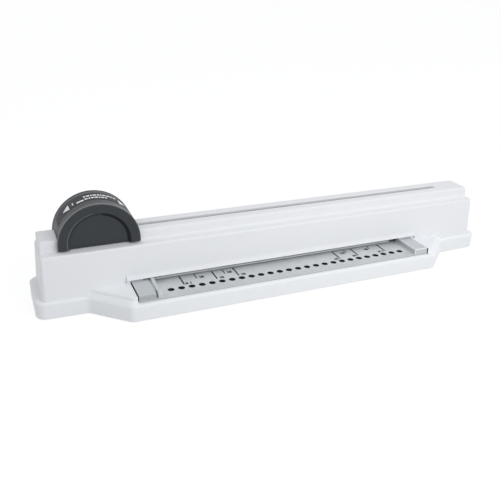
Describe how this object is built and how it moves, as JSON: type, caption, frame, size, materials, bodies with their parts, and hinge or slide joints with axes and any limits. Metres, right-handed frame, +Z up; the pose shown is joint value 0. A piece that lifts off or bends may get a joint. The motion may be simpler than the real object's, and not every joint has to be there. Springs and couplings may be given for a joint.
{
  "type": "slide hole punch",
  "caption": "Long white desk punch for loose-leaf sheets: a dark half-drum handle slides along a slotted cover and presses a row of sprung punches through a sheet laid on the front shelf.",
  "frame": {"origin": "on the floor, under the middle of the object's box", "axes": "+X along the row of holes to the right, +Y from the front shelf to the rear wall, +Z up"},
  "size_m": [0.458, 0.086, 0.0943],
  "materials": {
    "white_shell": "satin gloss moulded plastic",
    "silver_plate": "fine brushed, satin",
    "grey_block": "satin moulded plastic",
    "light_guide": "satin moulded plastic",
    "tool_steel": "ground steel",
    "zinc_plate": "zinc-plated sheet",
    "post_metal": "die-cast",
    "rubber": "matt rubber",
    "screw_steel": "zinc-plated",
    "spring_steel": "drawn wire",
    "handle_plastic": "satin moulded plastic",
    "inner_plastic": "glass-filled plastic",
    "label_film": "printed film",
    "glide_plastic": "low-friction plastic",
    "roller_steel": "turned steel",
    "punch_steel": "hardened and ground"
  },
  "bodies": {
    "housing": {"base_tray": "white_shell", "top_cover": "white_shell", "gauge_plate": "silver_plate", "left_end_block": "grey_block", "right_end_block": "grey_block", "left_edge_guide": "light_guide", "die_bar": "tool_steel", "stripper_plate": "tool_steel", "upper_guide_plate": "tool_steel", "paper_back_stop": "tool_steel", "frame_front_plate": "zinc_plate", "frame_rear_plate": "zinc_plate", "front_track": "zinc_plate", "rear_track": "zinc_plate", "left_end_post": "post_metal", "right_end_post": "post_metal", "rubber_feet": "rubber", "cover_screws": "screw_steel", "die_bar_screws": "screw_steel", "frame_screws": "screw_steel", "return_springs": "spring_steel"},
    "carriage": {"slider_handle": "handle_plastic", "handle_plate": "inner_plastic", "handle_label": "label_film", "carriage_block": "inner_plastic", "glide_pads": "glide_plastic", "roller_axle": "roller_steel", "handle_screws": "screw_steel"},
    "roller": {"press_roller": "roller_steel"},
    "drawer": {"chip_drawer": "white_shell"},
    "punch_01_body": {"punch_01": "punch_steel"},
    "punch_02_body": {"punch_02": "punch_steel"},
    "punch_03_body": {"punch_03": "punch_steel"},
    "punch_04_body": {"punch_04": "punch_steel"},
    "punch_05_body": {"punch_05": "punch_steel"},
    "punch_06_body": {"punch_06": "punch_steel"},
    "punch_07_body": {"punch_07": "punch_steel"},
    "punch_08_body": {"punch_08": "punch_steel"},
    "punch_09_body": {"punch_09": "punch_steel"},
    "punch_10_body": {"punch_10": "punch_steel"},
    "punch_11_body": {"punch_11": "punch_steel"},
    "punch_12_body": {"punch_12": "punch_steel"},
    "punch_13_body": {"punch_13": "punch_steel"},
    "punch_14_body": {"punch_14": "punch_steel"},
    "punch_15_body": {"punch_15": "punch_steel"},
    "punch_16_body": {"punch_16": "punch_steel"},
    "punch_17_body": {"punch_17": "punch_steel"},
    "punch_18_body": {"punch_18": "punch_steel"},
    "punch_19_body": {"punch_19": "punch_steel"},
    "punch_20_body": {"punch_20": "punch_steel"},
    "punch_21_body": {"punch_21": "punch_steel"},
    "punch_22_body": {"punch_22": "punch_steel"},
    "punch_23_body": {"punch_23": "punch_steel"},
    "punch_24_body": {"punch_24": "punch_steel"},
    "punch_25_body": {"punch_25": "punch_steel"},
    "punch_26_body": {"punch_26": "punch_steel"}
  },
  "joints": [
    {"name": "handle_slide", "type": "slide", "parent": "housing", "child": "carriage", "axis": [1, 0, 0], "range_m": [0, 0.34]},
    {"name": "roller_spin", "type": "hinge", "parent": "carriage", "child": "roller", "pos_m": [-0.1705, 0.01475, 0.052], "axis": [0, 1, 0], "range_deg": [0, 3400]},
    {"name": "drawer_slide", "type": "slide", "parent": "housing", "child": "drawer", "axis": [1, 0, 0], "range_m": [0, 0.25]},
    {"name": "punch_01_press", "type": "slide", "parent": "housing", "child": "punch_01_body", "axis": [0, 0, -1], "range_m": [0, 0.0045], "stiffness_N_per_m": 300, "springref_m": -0.004, "deforming": ["return_springs"]},
    {"name": "punch_02_press", "type": "slide", "parent": "housing", "child": "punch_02_body", "axis": [0, 0, -1], "range_m": [0, 0.0045], "stiffness_N_per_m": 300, "springref_m": -0.004, "deforming": ["return_springs"]},
    {"name": "punch_03_press", "type": "slide", "parent": "housing", "child": "punch_03_body", "axis": [0, 0, -1], "range_m": [0, 0.0045], "stiffness_N_per_m": 300, "springref_m": -0.004, "deforming": ["return_springs"]},
    {"name": "punch_04_press", "type": "slide", "parent": "housing", "child": "punch_04_body", "axis": [0, 0, -1], "range_m": [0, 0.0045], "stiffness_N_per_m": 300, "springref_m": -0.004, "deforming": ["return_springs"]},
    {"name": "punch_05_press", "type": "slide", "parent": "housing", "child": "punch_05_body", "axis": [0, 0, -1], "range_m": [0, 0.0045], "stiffness_N_per_m": 300, "springref_m": -0.004, "deforming": ["return_springs"]},
    {"name": "punch_06_press", "type": "slide", "parent": "housing", "child": "punch_06_body", "axis": [0, 0, -1], "range_m": [0, 0.0045], "stiffness_N_per_m": 300, "springref_m": -0.004, "deforming": ["return_springs"]},
    {"name": "punch_07_press", "type": "slide", "parent": "housing", "child": "punch_07_body", "axis": [0, 0, -1], "range_m": [0, 0.0045], "stiffness_N_per_m": 300, "springref_m": -0.004, "deforming": ["return_springs"]},
    {"name": "punch_08_press", "type": "slide", "parent": "housing", "child": "punch_08_body", "axis": [0, 0, -1], "range_m": [0, 0.0045], "stiffness_N_per_m": 300, "springref_m": -0.004, "deforming": ["return_springs"]},
    {"name": "punch_09_press", "type": "slide", "parent": "housing", "child": "punch_09_body", "axis": [0, 0, -1], "range_m": [0, 0.0045], "stiffness_N_per_m": 300, "springref_m": -0.004, "deforming": ["return_springs"]},
    {"name": "punch_10_press", "type": "slide", "parent": "housing", "child": "punch_10_body", "axis": [0, 0, -1], "range_m": [0, 0.0045], "stiffness_N_per_m": 300, "springref_m": -0.004, "deforming": ["return_springs"]},
    {"name": "punch_11_press", "type": "slide", "parent": "housing", "child": "punch_11_body", "axis": [0, 0, -1], "range_m": [0, 0.0045], "stiffness_N_per_m": 300, "springref_m": -0.004, "deforming": ["return_springs"]},
    {"name": "punch_12_press", "type": "slide", "parent": "housing", "child": "punch_12_body", "axis": [0, 0, -1], "range_m": [0, 0.0045], "stiffness_N_per_m": 300, "springref_m": -0.004, "deforming": ["return_springs"]},
    {"name": "punch_13_press", "type": "slide", "parent": "housing", "child": "punch_13_body", "axis": [0, 0, -1], "range_m": [0, 0.0045], "stiffness_N_per_m": 300, "springref_m": -0.004, "deforming": ["return_springs"]},
    {"name": "punch_14_press", "type": "slide", "parent": "housing", "child": "punch_14_body", "axis": [0, 0, -1], "range_m": [0, 0.0045], "stiffness_N_per_m": 300, "springref_m": -0.004, "deforming": ["return_springs"]},
    {"name": "punch_15_press", "type": "slide", "parent": "housing", "child": "punch_15_body", "axis": [0, 0, -1], "range_m": [0, 0.0045], "stiffness_N_per_m": 300, "springref_m": -0.004, "deforming": ["return_springs"]},
    {"name": "punch_16_press", "type": "slide", "parent": "housing", "child": "punch_16_body", "axis": [0, 0, -1], "range_m": [0, 0.0045], "stiffness_N_per_m": 300, "springref_m": -0.004, "deforming": ["return_springs"]},
    {"name": "punch_17_press", "type": "slide", "parent": "housing", "child": "punch_17_body", "axis": [0, 0, -1], "range_m": [0, 0.0045], "stiffness_N_per_m": 300, "springref_m": -0.004, "deforming": ["return_springs"]},
    {"name": "punch_18_press", "type": "slide", "parent": "housing", "child": "punch_18_body", "axis": [0, 0, -1], "range_m": [0, 0.0045], "stiffness_N_per_m": 300, "springref_m": -0.004, "deforming": ["return_springs"]},
    {"name": "punch_19_press", "type": "slide", "parent": "housing", "child": "punch_19_body", "axis": [0, 0, -1], "range_m": [0, 0.0045], "stiffness_N_per_m": 300, "springref_m": -0.004, "deforming": ["return_springs"]},
    {"name": "punch_20_press", "type": "slide", "parent": "housing", "child": "punch_20_body", "axis": [0, 0, -1], "range_m": [0, 0.0045], "stiffness_N_per_m": 300, "springref_m": -0.004, "deforming": ["return_springs"]},
    {"name": "punch_21_press", "type": "slide", "parent": "housing", "child": "punch_21_body", "axis": [0, 0, -1], "range_m": [0, 0.0045], "stiffness_N_per_m": 300, "springref_m": -0.004, "deforming": ["return_springs"]},
    {"name": "punch_22_press", "type": "slide", "parent": "housing", "child": "punch_22_body", "axis": [0, 0, -1], "range_m": [0, 0.0045], "stiffness_N_per_m": 300, "springref_m": -0.004, "deforming": ["return_springs"]},
    {"name": "punch_23_press", "type": "slide", "parent": "housing", "child": "punch_23_body", "axis": [0, 0, -1], "range_m": [0, 0.0045], "stiffness_N_per_m": 300, "springref_m": -0.004, "deforming": ["return_springs"]},
    {"name": "punch_24_press", "type": "slide", "parent": "housing", "child": "punch_24_body", "axis": [0, 0, -1], "range_m": [0, 0.0045], "stiffness_N_per_m": 300, "springref_m": -0.004, "deforming": ["return_springs"]},
    {"name": "punch_25_press", "type": "slide", "parent": "housing", "child": "punch_25_body", "axis": [0, 0, -1], "range_m": [0, 0.0045], "stiffness_N_per_m": 300, "springref_m": -0.004, "deforming": ["return_springs"]},
    {"name": "punch_26_press", "type": "slide", "parent": "housing", "child": "punch_26_body", "axis": [0, 0, -1], "range_m": [0, 0.0045], "stiffness_N_per_m": 300, "springref_m": -0.004, "deforming": ["return_springs"]}
  ],
  "couplings": [
    {"joint": "roller_spin", "follows": "handle_slide", "rad_per_m": 166.67}
  ]
}
